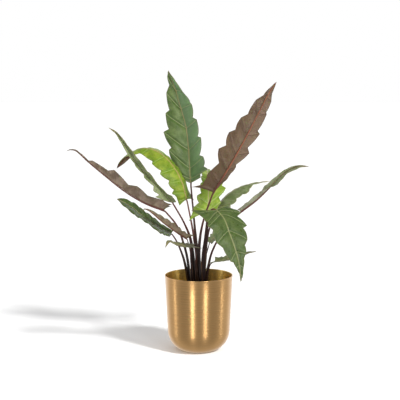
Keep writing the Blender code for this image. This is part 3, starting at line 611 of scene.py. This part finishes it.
class Mesh:
    """Collects vertices, faces, attributes and material numbers into one object."""

    def __init__(self):
        self.points = []
        self.faces = []
        self.slots = []
        self.values = {}
        self.flat = []
        self.count = 0

    def add(self, points, faces, slot, flat=None, **values):
        points = np.asarray(points, float).reshape(-1, 3)
        flat = np.zeros((len(points), 2)) if flat is None else np.asarray(flat, float).reshape(-1, 2)
        for key in set(self.values) | set(values):
            held = self.values.setdefault(key, [np.zeros(self.count)])
            held.append(np.broadcast_to(np.asarray(values.get(key, 0.0), float).ravel(), (len(points),)))
        self.points.append(points)
        self.flat.append(flat)
        self.faces += [tuple(int(i) + self.count for i in face) for face in faces]
        self.slots += [slot] * len(faces)
        self.count += len(points)

    def build(self, name, materials):
        mesh = bpy.data.meshes.new(name)
        mesh.from_pydata(np.vstack(self.points).tolist(), [], self.faces)
        for material in materials:
            mesh.materials.append(material)
        mesh.polygons.foreach_set("material_index", self.slots)
        mesh.polygons.foreach_set("use_smooth", [True] * len(self.faces))
        for key, parts in self.values.items():
            layer = mesh.attributes.new(key, "FLOAT", "POINT")
            layer.data.foreach_set("value", np.concatenate(parts).astype(np.float32))
        corners = np.zeros(len(mesh.loops), np.int32)
        mesh.loops.foreach_get("vertex_index", corners)
        uv = mesh.uv_layers.new(name="flat")
        uv.data.foreach_set("uv", np.vstack(self.flat)[corners].astype(np.float32).ravel())
        mesh.update()
        return linked(name, mesh)


def grid_faces(rows, columns, offset=0, flip=False, wrap=False):
    faces = []
    last = columns if wrap else columns - 1
    for i in range(rows - 1):
        for j in range(last):
            k = (j + 1) % columns
            quad = (i * columns + j, i * columns + k, (i + 1) * columns + k, (i + 1) * columns + j)
            faces.append(tuple(offset + v for v in (quad[::-1] if flip else quad)))
    return faces


def around(count):
    return np.linspace(0, 2 * math.pi, count, endpoint=False)


def end_fans(rings, sides):
    """Triangles from a stack of rings to two end points, which follow the rings."""
    foot, last = rings * sides, (rings - 1) * sides
    fans = []
    for j in range(sides):
        k = (j + 1) % sides
        fans += [(foot, k, j), (foot + 1, last + j, last + k)]
    return fans


def capped(rings, sides):
    """Faces of a stack of rings, closed by one flat face at each end."""
    last = (rings - 1) * sides
    ends = [tuple(range(sides)), tuple(last + k for k in reversed(range(sides)))]
    return grid_faces(rings, sides, flip=True, wrap=True) + ends


def tube(mesh, run, radii, slot, up, sides=TUBE_SIDES, shape=None, taper_end=True, **values):
    """A closed tube along `run`. `shape(share, angle)` scales its radius; `up` is where angle 0 looks."""
    count = len(run)
    ahead = unit(np.gradient(run, axis=0))
    look = np.asarray(up, float)
    if look.ndim == 1:
        look = np.repeat(look[None, :], count, 0)
    look = unit(look - ahead * np.sum(look * ahead, -1, keepdims=True))
    across = np.cross(ahead, look)
    angles = around(sides)
    share = np.linspace(0, 1, count)
    scale = np.ones((count, sides)) if shape is None else shape(share[:, None], angles[None, :])
    reach = np.asarray(radii)[:, None] * scale
    points = run[:, None, :] + look[:, None, :] * (reach * np.cos(angles))[..., None]
    points = points + across[:, None, :] * (reach * np.sin(angles))[..., None]
    points = points.reshape(-1, 3)
    faces = grid_faces(count, sides, wrap=True) + end_fans(count, sides)
    stub = 1.5 if taper_end else 0.2
    points = np.vstack([points, run[0] - ahead[0] * radii[0] * 0.2, run[-1] + ahead[-1] * radii[-1] * stub])
    spread = {"along": np.concatenate([np.repeat(share, sides), [0.0, 1.0]])}
    for key, value in values.items():
        spread[key] = np.concatenate([np.broadcast_to(value, (count, sides)).ravel(), [0.0, 0.0]])
    turned = np.concatenate([np.tile(angles / 6.3, count), [0, 0]])
    flat = np.stack([spread["along"], turned], -1)
    mesh.add(points, faces, slot, flat, **spread)


def make_blade(leaf, look, seed):
    """A leaf blade with quilted halves, wavy scalloped margins and a raised midrib underneath."""
    rib = Rib((leaf["neck"], *leaf["rib"]), leaf["faces"])
    both = vein_lines(leaf, rib.length)
    numbers, fine = fine_rows(both, leaf["half"])
    shares = np.linspace(0.0, 1.0, HALF_COLUMNS + 1) ** 0.9
    fold = math.radians(leaf["fold"])
    size = sum(leaf["half"]) / 90
    halves = []
    for side, way in ((0, -1.0), (1, 1.0)):
        flat = sweep(fine[side], shares)
        place, _, across, face = rib.frames(flat[..., 0])
        reach = flat[..., 1]
        rise = reach * math.sin(fold) - reach * reach * 3.0
        point = place + across * way * (reach * math.cos(fold))[..., None] + face * rise[..., None]
        lines = both[side]
        vein_at = [0.5] + [float(i) for i in range(3, len(lines) - 1, 2)]
        stop = len(lines) - 1
        twig_at = [1.4] + [i - 0.5 for i in range(3, stop, 2)] + [i - 0.25 for i in range(5, stop, 2)]
        marks = []
        for stops in (vein_at, twig_at):
            rows = np.stack([np.interp(stops, np.arange(len(lines)), lines[:, k]) for k in range(3)], -1)
            traces = sweep(rows, np.linspace(0, 1, 9))
            marks.append(np.min([line_distance(flat, trace) for trace in traces], axis=0))
        ends = flat[:, -1:, :]
        edge = np.minimum(np.linalg.norm(flat - ends, axis=-1) * 0.75, line_distance(flat, flat[0]))
        edge[:, -1] = 0.0
        edge[0, :] = 0.0
        tooth = np.sin(np.pi * (numbers - 2.6))[:, None] * np.clip((numbers - 2) / 2, 0, 1)[:, None]
        quilt = (1 - np.exp(-(marks[0] / (4 * MM)) ** 2)) * np.sin(np.pi * np.clip(shares, 0, 1))[None, :] ** 0.6
        relief = QUILT_RISE * size * quilt + 1.3 * size * tooth * shares[None, :] ** 2
        relief -= 0.5 * np.exp(-(reach / (1.6 * MM)) ** 2)
        relief += look["ruffle"] * size * waves(flat, seed + side, 0.045) * shares[None, :] ** 0.8
        taper = np.clip((rib.length - flat[..., 0]) / (14 * MM), 0.0, 1.0)
        halves.append((point, flat * (1, way), relief * taper * MM, marks[0], marks[1], edge, reach))
    joined = []
    for left, right in zip(*halves):
        joined.append(np.concatenate([left[:, :0:-1], right], axis=1))
    point, flat, relief, vein, twig, edge, reach = joined
    relief[:, HALF_COLUMNS] = (relief[:, HALF_COLUMNS - 1] + relief[:, HALF_COLUMNS + 1]) / 2 - 0.1 * MM
    normal = unit(np.cross(np.gradient(point, axis=1), np.gradient(point, axis=0)))
    facing = rib.frames(flat[..., 0])[3]
    normal = np.where(np.sum(normal * facing, -1, keepdims=True) < 0, -normal, normal)
    middle = point + normal * relief[..., None]
    rows, columns = middle.shape[:2]
    body = rows * columns
    tip = rib.place(np.array([rib.length]))
    thick = BLADE_SKIN / 2
    points = np.vstack([(middle + normal * thick).reshape(-1, 3), (middle - normal * thick).reshape(-1, 3), tip])
    upper = grid_faces(rows, columns)
    lower = grid_faces(rows, columns, offset=body, flip=True)
    apex = 2 * body
    last = (rows - 1) * columns
    for j in range(columns - 1):
        upper.append((last + j, last + j + 1, apex))
        lower.append((body + last + j + 1, body + last + j, apex))
    rim = []
    for i in range(rows - 1):
        a, b = i * columns, (i + 1) * columns
        rim.append((a, b, body + b, body + a))
        a, b = a + columns - 1, b + columns - 1
        rim.append((b, a, body + a, body + b))
    rim.append((last, apex, body + last))
    rim.append((apex, last + columns - 1, body + last + columns - 1))
    for j in range(columns - 1):
        rim.append((j + 1, j, body + j, body + j + 1))
    share = np.clip(flat[..., 0] / rib.length, 0, 1)
    marked = (("vein_mm", vein / MM, 9.0), ("twig_mm", twig / MM, 9.0), ("edge_mm", edge / MM, 0.0),
              ("rib_mm", reach / MM, 0.0), ("along", share, 1.0))
    shade = {key: np.concatenate([grid.ravel()] * 2 + [[at_tip]]) for key, grid, at_tip in marked}
    uv = np.vstack([flat.reshape(-1, 2)] * 2 + [[rib.length, 0.0]]) * 10 + (seed * 3.7, 0.0)
    mesh = Mesh()
    mesh.add(points, upper + lower + rim, 0, uv, **shade)
    mesh.slots = [0] * len(upper) + [1] * len(lower) + [0] * len(rim)
    ride = np.linspace(-2 * MM, rib.length * 0.97, 60)
    place, _, _, face = rib.frames(ride)
    thin = leaf["radii"][1] * MM
    radii = thin * (1 - np.clip(ride / rib.length, 0, 1)) ** 0.8 * 0.92 + 0.25 * MM
    drop = radii * 0.75 + 0.3 * MM
    clear = dict(vein_mm=9.0, twig_mm=9.0, edge_mm=9.0)
    tube(mesh, place - face * drop[:, None], radii, 2, face, sides=10, rib_mm=0.0, **clear)
    return mesh


def make_stalk(leaf):
    """A fleshy stalk with a groove on its upper side and, low down, the two edges of the sheath it clasps with."""
    foot = np.array([leaf["foot"][0], leaf["foot"][1], PETIOLE_FOOT_Z / MM])
    route = np.array([foot + (0, 0, 8), *leaf["stalk"], leaf["neck"]], float) * MM
    run = np.vstack([foot * MM, foot * MM + (0, 0, 0.0048), smooth(route, 10)])
    ahead = unit(run[-1] - run[-2])
    face = Rib((leaf["neck"], *leaf["rib"]), leaf["faces"]).frames(np.array([0.0]))[3][0]
    thick, thin = (value * MM for value in leaf["radii"])
    share = np.linspace(0, 1, len(run))
    radii = thick + (thin - thick) * share ** 0.8
    run[-1] = run[-1] - ahead * 0.3 * MM - face * thin * 0.75

    def clasp_and_turn(t, angle):
        return np.clip((SHEATH_TOP - t) / 0.5, 0.0, 1.0) ** 0.8, np.abs(np.angle(np.exp(1j * angle)))

    def section(t, angle):
        clasp, turn = clasp_and_turn(t, angle)
        wings = np.exp(-((turn - WING_TURN) / 0.3) ** 2) * clasp
        groove = np.exp(-(turn / 0.5) ** 2) * (0.16 + 0.3 * clasp)
        return 1.0 + 1.1 * wings - groove

    clasp, turn = clasp_and_turn(share[:, None], around(TUBE_SIDES)[None, :])
    wing = np.exp(-((turn - WING_TURN) / 0.26) ** 2) * clasp
    mesh = Mesh()
    tube(mesh, run, radii, 0, face, shape=section, taper_end=False, wing=wing)
    return mesh


def lathe(outline, steps):
    """A turned body from an outline that starts and ends on the axis, or closes on itself."""
    outline = np.array(outline, float)
    closed = outline[0, 0] > 1e-9
    mesh = Mesh()
    angles = around(steps)
    body = outline if closed else outline[1:-1]
    r, z = body[:, :1], np.repeat(body[:, 1:], steps, 1)
    ring = np.stack([r * np.cos(angles), r * np.sin(angles), z], -1)
    points = ring.reshape(-1, 3)
    count = len(body)
    faces = grid_faces(count, steps, wrap=True)
    if closed:
        last = (count - 1) * steps
        faces += [(last + j, last + (j + 1) % steps, (j + 1) % steps, j) for j in range(steps)]
    else:
        points = np.vstack([points, (0, 0, outline[0, 1]), (0, 0, outline[-1, 1])])
        faces += end_fans(count, steps)
    mesh.add(points, faces, 0)
    return mesh


def turn_out(made):
    """Makes every face look outward."""
    bpy.context.view_layer.objects.active = made
    work = bmesh.new()
    work.from_mesh(made.data)
    bmesh.ops.recalc_face_normals(work, faces=work.faces)
    work.to_mesh(made.data)
    work.free()
    return made


def cachepot_lines():
    """Outline of the gold pot: floor inside, up the inner side, over the rolled lip, down the outer side."""
    wall, low, corner, base = 1.2, 73.3, 50.0, 32.0

    def bend(inset, angle):
        return (base + (low - base - inset) * math.cos(angle), corner - (corner - inset) * math.sin(angle))

    turns = [math.radians(90 * k / 20) for k in range(21)]
    inner = [(0.0, wall)] + [bend(wall, a) for a in reversed(turns)]
    inner += [(low - wall + (79.2 - low) * t, corner + (175.6 - corner) * t) for t in (0.25, 0.5, 0.75)]
    lip = [(78.0, 175.6), (78.02, 177.0), (78.3, 177.7), (78.8, 178.0), (79.5, 177.95), (79.9, 177.6), (80.0, 177.1),
           (79.85, 176.5), (79.4, 176.0), (79.2, 175.4)]
    outer = [(low + (79.2 - low) * t, corner + (175.6 - corner) * t) for t in (0.75, 0.5, 0.25)]
    outer += [bend(0.0, a) for a in turns]
    return [(r * MM, z * MM) for r, z in inner + lip + outer + [(0.0, 0.0)]]


def nursery_lines():
    base, top, wall = 7.2, 128.2, 1.2
    foot = top - 9.0
    inner = [(0.0, base + wall), (47.8, base + wall), (49.2, base + 2.4), (51.0, base + 9.0)]
    inner += [(51.0 + (63.8 - 51.0) * t, base + 9 + (foot - base - 9) * t) for t in (0.33, 0.66, 1.0)]
    inner += [(66.7, foot + 1.0), (67.3, top - 0.3), (67.6, top)]
    outer = [(68.1, top), (68.5, top - 0.4), (67.9, foot), (65.0, foot - 0.6)]
    outer += [(65.0 + (52.2 - 65.0) * t, foot - 0.6 + (base + 9 - foot + 0.6) * t) for t in (0.33, 0.66, 1.0)]
    outer += [(50.2, base + 1.6), (49.6, base + 0.5), (48.4, base), (0.0, base)]
    return [(r * MM, z * MM) for r, z in inner + outer]


def drill(made, places, radius, low, high):
    """Cuts round vertical holes through a piece."""
    cutter = Mesh()
    for x, y in places:
        angles = around(24)
        ring = np.stack([x + radius * np.cos(angles), y + radius * np.sin(angles)], -1)
        points = np.vstack([np.column_stack([ring, np.full(24, z)]) for z in (low, high)])
        faces = [tuple(reversed(range(24))), tuple(range(24, 48))] + grid_faces(2, 24, wrap=True)
        cutter.add(points, faces, 0)
    tool = cutter.build("drill", [])
    cut = made.modifiers.new("holes", "BOOLEAN")
    cut.operation, cut.solver, cut.object = "DIFFERENCE", "EXACT", tool
    bpy.context.view_layer.update()
    shaped = bpy.data.meshes.new_from_object(made.evaluated_get(bpy.context.evaluated_depsgraph_get()))
    made.modifiers.clear()
    made.data = shaped
    bpy.data.objects.remove(tool)
    return made


def soil_mesh():
    """Potting mix with a crumbly top and straight sides that fill the nursery pot."""
    top = []
    low = (51.0 - 0.4) * MM
    edge = low + (114 - 7.2 - 9) * MM * (65.0 - 50.0 - 2.2) / (121 - 9 - 9)
    mesh = Mesh()
    steps, rings = 110, 40
    angles = around(steps)
    for k in range(rings + 1):
        r = edge * (k / rings) ** 0.9 if k else 0.6 * MM
        rise = 3.0 * MM * max(0.0, math.cos(r / edge * math.pi / 2)) ** 1.2
        ring = []
        for a in angles:
            spot = Vector((r * math.cos(a), r * math.sin(a), 0.0))
            rough = noise.fractal(spot * 140, 1.0, 2.0, 4) * 1.3 * MM + noise.noise(spot * 420) * 0.5 * MM
            fade = min(1.0, (edge - r) / (3 * MM))
            ring.append((spot.x, spot.y, SOIL_TOP_Z + rise - 0.4 * MM + rough * fade))
        top.append(ring)
    sides = [(low, 16.2 * MM), (46.8 * MM, 10.3 * MM), (45.0 * MM, 8.8 * MM), (0.6 * MM, 8.8 * MM)]
    for r, z in sides:
        top.append([(r * math.cos(a), r * math.sin(a), z) for a in angles])
    points = np.array(top).reshape(-1, 3)
    mesh.add(points, capped(len(top), steps), 0)
    return mesh


def crumbs_mesh(seed, number, small, large, squash):
    """Loose bits lying on the soil around the rhizomes."""
    rng = np.random.default_rng(seed)
    ball = bmesh.new()
    bmesh.ops.create_icosphere(ball, subdivisions=2, radius=1.0)
    shape = np.array([v.co for v in ball.verts])
    faces = [[v.index for v in f.verts] for f in ball.faces]
    ball.free()
    mesh = Mesh()
    while number:
        a, r = rng.uniform(0, 2 * math.pi), 60 * MM * math.sqrt(rng.uniform(0.0, 1.0))
        x, y = r * math.cos(a), r * math.sin(a)
        if min(math.hypot(x - cx * MM, y - cy * MM) for cx, cy in RHIZOME_CENTRES) < 15 * MM:
            continue
        size = rng.uniform(small, large) * MM * np.array([1.0, rng.uniform(0.5, 0.9), squash])
        lumps = [1 + 0.35 * noise.noise(Vector(v * 1.6) + Vector((a * 9, r * 900, seed))) for v in shape]
        body = shape * np.array(lumps)[:, None] * size
        turn, tilt = rng.uniform(0, 2 * math.pi), rng.uniform(-0.5, 0.5)
        spin = np.array([[math.cos(turn), -math.sin(turn), 0], [math.sin(turn), math.cos(turn), 0], [0, 0, 1]])
        lean = np.array([[1, 0, 0], [0, math.cos(tilt), -math.sin(tilt)], [0, math.sin(tilt), math.cos(tilt)]])
        rise = 3.0 * MM * math.cos(r / (62 * MM) * math.pi / 2)
        mesh.add(body @ (spin @ lean).T + (x, y, SOIL_TOP_Z + rise + size[2] * 0.3), faces, 0)
        number -= 1
    return mesh


def rhizome_mesh(x, y, seed):
    """A stubby rhizome with raised leaf-scar rings and a ragged crown."""
    outline = [(0.6, 126.6), (7.0, 126.8), (9.6, 126.4)]
    outline += [(10.4 + 0.55 * math.sin(z * 1.9), z) for z in np.arange(125.4, 99.0, -0.8)]
    outline += [(8.0, 95.0), (5.0, 92.0), (0.6, 92.0)]
    steps = 56
    angles = around(steps)
    points = []
    for r, z in outline:
        for a in angles:
            way = Vector((math.cos(a), math.sin(a), 0.0))
            rough = 0.5 * noise.noise(way * 3 + Vector((seed, 0, z * 0.45))) if r > 2 else 0.0
            reach = min(r + rough, 11.0)
            points.append(((x + way.x * reach) * MM, (y + way.y * reach) * MM, z * MM))
    mesh = Mesh()
    mesh.add(points, capped(len(outline), steps), 0)
    return mesh


def settle(piece, body, slot, *nodes):
    piece.data.set_sharp_from_angle(angle=math.radians(60))
    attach(piece, body)
    if nodes:
        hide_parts(*nodes)
    return piece


def face_material(name, look):
    given = {key: tone(*value) if isinstance(value, tuple) else value for key, value in look.items()}
    return leaf_face(name, **given)


def rib_skin(name, look, stalk):
    """The raised midrib under a blade: the neck's colour at its foot, the face's rib colour towards its tip."""
    return stalk_skin(name, tone(*stalk["high"]), tone(*look["rib"]), tone(*stalk["blush"]), 0.34, (0.02, 0.3))


def make_leaves():
    for number, leaf in enumerate(LEAVES, 1):
        name = leaf["name"]
        look = LOOKS[name]
        kind, dark = look["stalk"]
        tones = STALKS[kind]
        upper = face_material(name + "_upper", look.get("upper", UPPER_PLAIN))
        back = look.get("under", UNDER_PLAIN)
        under = face_material(name + "_under", back)
        rib = rib_skin(name + "_rib", back, tones)
        blade = make_blade(leaf, look, number).build(name + "_lamina", [upper, under, rib])
        settle(blade, PLANT, look["slot"], name + "_blade")
        high = tuple(value * dark + tones["blush"][k] * (1 - dark) for k, value in enumerate(tones["high"]))
        skin = stalk_skin(name + "_stalk", tone(*tones["low"]), tone(*high), tone(*tones["blush"]))
        stalk = make_stalk(leaf).build(name + "_stem", [skin])
        settle(stalk, PLANT, "leaf_stalk", name + "_petiole")


def make_pots():
    gold = turn_out(lathe(cachepot_lines(), 192).build("gold_pot", [brushed_gold()]))
    settle(gold, CACHEPOT, "brushed_gold", "cachepot")
    inner = turn_out(lathe(nursery_lines(), 120).build("grow_pot", [nursery_plastic()]))
    places = [(34 * MM * math.cos(math.radians(60 * k)), 34 * MM * math.sin(math.radians(60 * k))) for k in range(6)]
    drill(inner, places, 5 * MM, 5 * MM, 8.55 * MM)
    settle(inner, PLANT, "nursery_plastic", "nursery_pot")
    soil = turn_out(soil_mesh().build("soil", [potting_mix("soil_mix", srgb(66, 47, 34), srgb(34, 25, 19))]))
    settle(soil, PLANT, "potting_mix", "potting_soil")
    loose = (("bark_chips", (3, 230, 1.4, 4.0, 0.45), "bark", (112, 78, 50), (60, 40, 27)),
             ("perlite", (8, 90, 0.7, 1.7, 0.8), "perlite", (214, 208, 196), (170, 162, 148)))
    for name, sizes, skin, light, dark in loose:
        bits = crumbs_mesh(*sizes).build(name, [potting_mix(skin, srgb(*light), srgb(*dark))])
        settle(turn_out(bits), PLANT, "potting_mix")
    bark = rhizome_bark()
    for k, (x, y) in enumerate(RHIZOME_CENTRES, 1):
        piece = turn_out(rhizome_mesh(x, y, k * 5.0).build(f"rootstock_{k}", [bark]))
        settle(piece, PLANT, "rhizome_bark", f"rhizome_{k}")


def make_stage():
    span = 40.0
    mesh = bpy.data.meshes.new("floor")
    mesh.from_pydata([(-span, -span, 0), (span, -span, 0), (span, span, 0), (-span, span, 0)], [], [(0, 1, 2, 3)])
    mesh.materials.append(studio_floor())
    floor = linked("floor", mesh)
    floor.location.z = FLOOR_DROP
    floor.visible_glossy = False

    scene = bpy.context.scene
    scene.view_settings.view_transform = "Standard"
    scene.world = bpy.data.worlds.new("studio")
    n = Nodes("studio", scene.world)
    split = n.node("ShaderNodeSeparateXYZ")
    n.put(split.inputs[0], n.node("ShaderNodeTexCoord").outputs["Generated"])
    ramp = n.node("ShaderNodeMapRange")
    ramp.inputs["From Min"].default_value = -1.0
    n.put(ramp.inputs["Value"], split.outputs["Y"])
    tones = n.node("ShaderNodeValToRGB")
    n.put(tones.inputs["Fac"], ramp.outputs["Result"])
    first, last = tones.color_ramp.elements
    first.color, last.color = (*[WORLD_TONES[0][1]] * 3, 1.0), (*[WORLD_TONES[-1][1]] * 3, 1.0)
    for at, grey in WORLD_TONES[1:-1]:
        tones.color_ramp.elements.new(at).color = (grey, grey, grey, 1.0)
    seen = n.node("ShaderNodeLightPath").outputs["Is Camera Ray"]
    n.put(n.tree.nodes["Background"].inputs["Color"], n.mix(seen, tones.outputs["Color"], (1.0, 1.0, 1.0, 1.0)))

    sun = bpy.data.lights.new("key", "SUN")
    sun.energy = 3.4
    sun.angle = math.radians(9)
    key = linked("key", sun)
    key.rotation_euler = Vector(SUN_FROM).to_track_quat("Z", "Y").to_euler()
    key.visible_glossy = False

    for name, turn, power, width in STRIPS:
        area = bpy.data.lights.new(name, "AREA")
        area.shape = "RECTANGLE"
        area.size, area.size_y = width, STRIP_LENGTH
        area.energy = power
        lamp = linked(name, area)
        angle = math.radians(turn)
        lamp.location = (STRIP_RADIUS * math.sin(angle), -STRIP_RADIUS * math.cos(angle), STRIP_HEIGHT)
        aim = Vector(lamp.location) - Vector((0, 0, 0.2))
        aim.z = 0.0
        lamp.rotation_euler = aim.to_track_quat("Z", "Y").to_euler()
        lamp.visible_camera = False

    view = bpy.data.cameras.new("view")
    view.lens = CAMERA_LENS
    view.sensor_width = 36.0
    view.clip_start, view.clip_end = 0.05, 200.0
    eye = linked("view", view)
    eye.location = CAMERA_PLACE
    eye.rotation_euler = (math.radians(90 - CAMERA_DOWN), 0.0, 0.0)
    scene.camera = eye


make_stage()
make_pots()
make_leaves()
